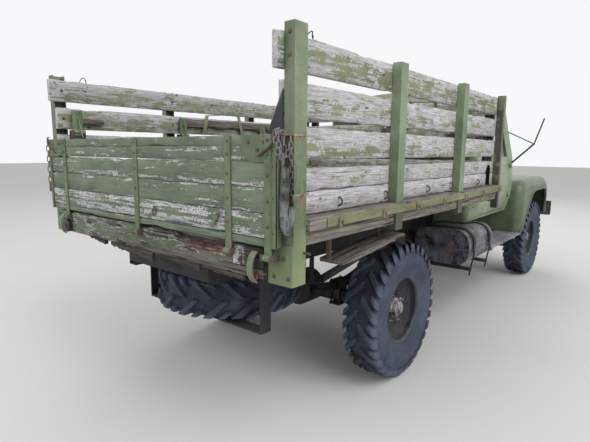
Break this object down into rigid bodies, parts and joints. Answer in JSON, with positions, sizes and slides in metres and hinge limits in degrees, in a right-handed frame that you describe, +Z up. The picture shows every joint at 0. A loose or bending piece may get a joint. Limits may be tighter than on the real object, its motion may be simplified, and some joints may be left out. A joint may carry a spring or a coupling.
{
  "type": "cargo truck",
  "caption": "Four-wheel-drive cargo truck with a bonneted cab, slatted timber body with folding benches and a drop tailgate, spare wheel slung under the tail and a fuel tank each side",
  "frame": {"origin": "centre of the truck's outline at the ground, under the cab's rear wall", "axes": "+X forward, +Y to the truck's left, +Z up"},
  "size_m": [6.5598, 2.4874, 2.395],
  "materials": {
    "black_tank": "black, orange rust spots",
    "cab_glass": "dusty clear glass",
    "cab_paint": "faded olive green paint",
    "canvas": "grey-blue canvas, rust stained",
    "chassis": "black, dusty, rusty at its edges",
    "dark_trim": "dark brown-black",
    "engine_iron": "oily grey iron",
    "green_boards": "olive green paint, peeled to grey wood, lichen",
    "green_steel": "faded olive green paint",
    "grey_wood": "weathered grey-lilac wood",
    "red_wood": "red-brown rotten timber",
    "rusty_steel": "brown rust",
    "seat_cover": "dark brown leathercloth",
    "tyre": "dusty blue-black tyre rubber",
    "wheel": "rust brown, traces of dark paint"
  },
  "bodies": {
    "chassis": {"axle_front": "chassis", "axle_rear": "chassis", "bed_bearers": "grey_wood", "bed_floor": "grey_wood", "body_boards": "green_boards", "bumper": "chassis", "cab_glass": "cab_glass", "cab_shell": "cab_paint", "canvas_sleeve": "canvas", "chains": "rusty_steel", "dashboard": "dark_trim", "engine": "engine_iron", "exhaust": "rusty_steel", "frame": "chassis", "fuel_tanks": "black_tank", "grille": "cab_paint", "headlamps": "dark_trim", "hinge_lugs": "rusty_steel", "lamp_guards": "rusty_steel", "ledges": "green_boards", "mirror_arms": "dark_trim", "posts": "green_steel", "radiator": "chassis", "rear_beam": "red_wood", "rope_hooks": "rusty_steel", "rope_rails": "green_steel", "seat_back": "seat_cover", "seat_cushion": "seat_cover", "spare_carrier": "chassis", "splash_boards": "grey_wood", "springs": "chassis", "steering_wheel": "dark_trim", "step_boards": "chassis", "tank_straps": "chassis", "tow_hooks": "rusty_steel", "transfer_case": "chassis", "tyre_spare": "tyre", "wheel_spare": "wheel", "wings": "cab_paint"},
    "door_left": {"door_left": "cab_paint", "door_glass_left": "cab_glass"},
    "door_right": {"door_right": "cab_paint", "door_glass_right": "cab_glass"},
    "bonnet_lid": {"bonnet": "cab_paint"},
    "tailgate": {"tailgate_boards": "green_boards", "tailgate_straps": "green_steel"},
    "bench_left": {"bench_left": "grey_wood"},
    "bench_right": {"bench_right": "grey_wood"},
    "knuckle_left": {"knuckle_left": "chassis"},
    "knuckle_right": {"knuckle_right": "chassis"},
    "tie_rod": {"tie_rod": "chassis"},
    "wheel_front_left": {"tyre_front_left": "tyre", "wheel_front_left": "wheel"},
    "wheel_front_right": {"tyre_front_right": "tyre", "wheel_front_right": "wheel"},
    "wheel_rear_left": {"tyre_rear_left": "tyre", "wheel_rear_left": "wheel"},
    "wheel_rear_right": {"tyre_rear_right": "tyre", "wheel_rear_right": "wheel"}
  },
  "joints": [
    {"name": "rear_left_roll", "type": "hinge", "parent": "chassis", "child": "wheel_rear_left", "pos_m": [-1.606, 0.882, 0.523], "axis": [0, 1, 0], "continuous": true},
    {"name": "rear_right_roll", "type": "hinge", "parent": "chassis", "child": "wheel_rear_right", "pos_m": [-1.606, -0.882, 0.523], "axis": [0, 1, 0], "continuous": true},
    {"name": "steer_left", "type": "hinge", "parent": "chassis", "child": "knuckle_left", "pos_m": [2.394, 0.712, 0.523], "axis": [0, 0, 1], "range_deg": [-30, 30]},
    {"name": "steer_right", "type": "hinge", "parent": "chassis", "child": "knuckle_right", "pos_m": [2.394, -0.712, 0.523], "axis": [0, 0, 1], "range_deg": [-30, 30]},
    {"name": "front_left_roll", "type": "hinge", "parent": "knuckle_left", "child": "wheel_front_left", "pos_m": [2.394, 0.882, 0.523], "axis": [0, 1, 0], "continuous": true},
    {"name": "front_right_roll", "type": "hinge", "parent": "knuckle_right", "child": "wheel_front_right", "pos_m": [2.394, -0.882, 0.523], "axis": [0, 1, 0], "continuous": true},
    {"name": "tie_rod_swing", "type": "hinge", "parent": "knuckle_left", "child": "tie_rod", "pos_m": [2.184, 0.712, 0.4], "axis": [0, 0, 1], "range_deg": [-30, 30]},
    {"name": "door_left_hinge", "type": "hinge", "parent": "chassis", "child": "door_left", "pos_m": [1.3035, 0.936, 1.4], "axis": [0, 0, -1], "range_deg": [0, 70]},
    {"name": "door_right_hinge", "type": "hinge", "parent": "chassis", "child": "door_right", "pos_m": [1.3035, -0.936, 1.4], "axis": [0, 0, 1], "range_deg": [0, 70]},
    {"name": "bonnet_hinge", "type": "hinge", "parent": "chassis", "child": "bonnet_lid", "pos_m": [1.654, 0, 1.642], "axis": [0, -1, 0], "range_deg": [0, 50]},
    {"name": "tailgate_hinge", "type": "hinge", "parent": "chassis", "child": "tailgate", "pos_m": [-3.262, 0, 1.243], "axis": [0, -1, 0], "range_deg": [0, 90]},
    {"name": "bench_left_hinge", "type": "hinge", "parent": "chassis", "child": "bench_left", "pos_m": [-1.645, 1.05, 1.858], "axis": [1, 0, 0], "range_deg": [0, 90]},
    {"name": "bench_right_hinge", "type": "hinge", "parent": "chassis", "child": "bench_right", "pos_m": [-1.645, -1.05, 1.858], "axis": [-1, 0, 0], "range_deg": [0, 90]}
  ],
  "couplings": [
    {"joint": "steer_right", "follows": "steer_left", "ratio": 1},
    {"joint": "tie_rod_swing", "follows": "steer_left", "ratio": -1}
  ]
}
